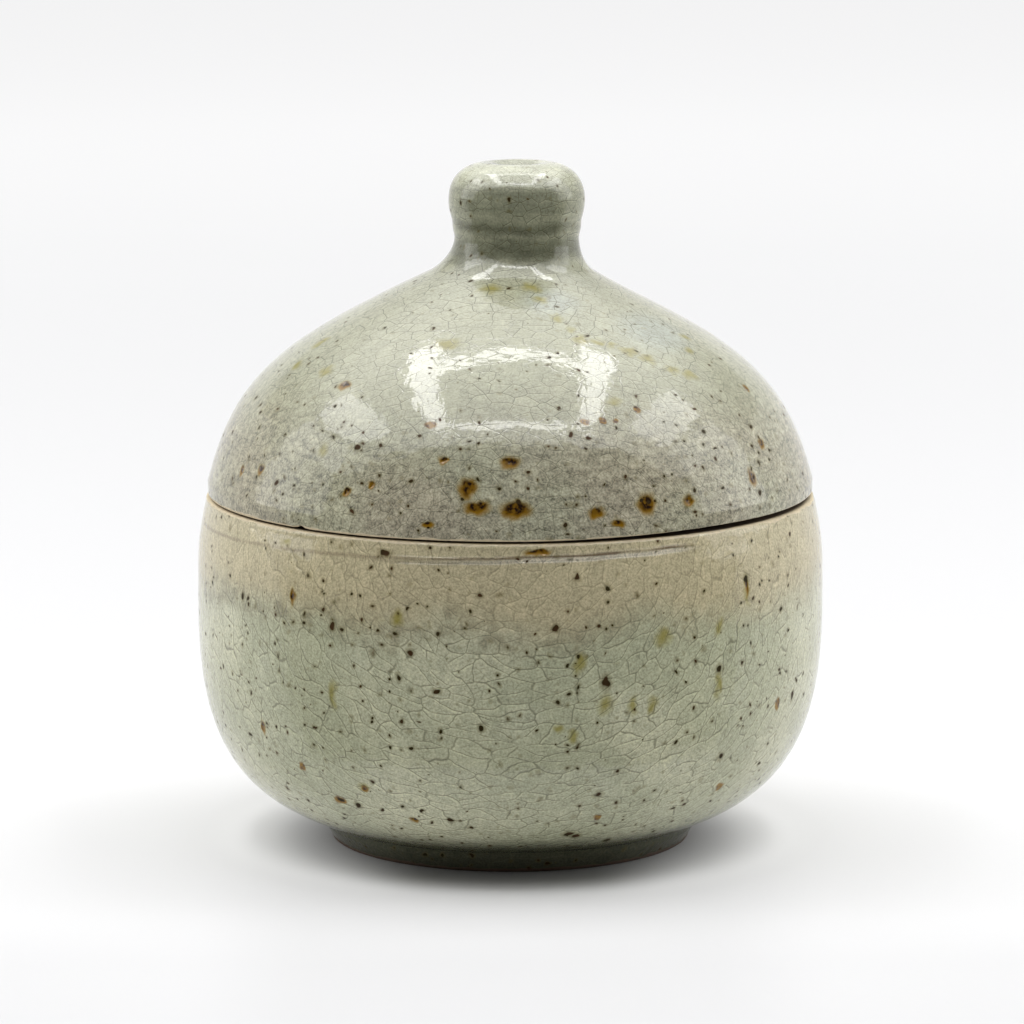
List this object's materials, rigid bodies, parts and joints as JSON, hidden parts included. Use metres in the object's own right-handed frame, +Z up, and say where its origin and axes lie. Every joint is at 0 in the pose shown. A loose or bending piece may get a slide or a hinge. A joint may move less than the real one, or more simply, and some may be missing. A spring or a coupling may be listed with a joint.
{
  "type": "lidded trinket bowl",
  "caption": "Round-bellied stoneware trinket bowl on a turned foot ring, with a domed lift-off lid, an inner locating flange and a dimpled knob, under crackled grey-green glaze.",
  "frame": {"origin": "centre of the foot ring's resting face, on the bowl's turning axis", "axes": "+Z up along the turning axis, the way the lid lifts; +X to the right and -Y towards the viewer in the picture"},
  "size_m": [0.1, 0.1, 0.1086],
  "materials": {
    "bowl_glaze": "glossy grey-green celadon glaze with fine dark crackle and brown iron specks, bare clay at the rim and foot",
    "lid_glaze": "glossy pale grey-green celadon glaze with fine dark crackle and brown iron specks, bare clay on the seat and flange"
  },
  "bodies": {
    "bowl": {"bowl": "bowl_glaze"},
    "lid": {"lid": "lid_glaze"}
  },
  "joints": [
    {"name": "lid_lift", "type": "slide", "parent": "bowl", "child": "lid", "axis": [0, 0, 1], "range_m": [0, 0.08]}
  ]
}
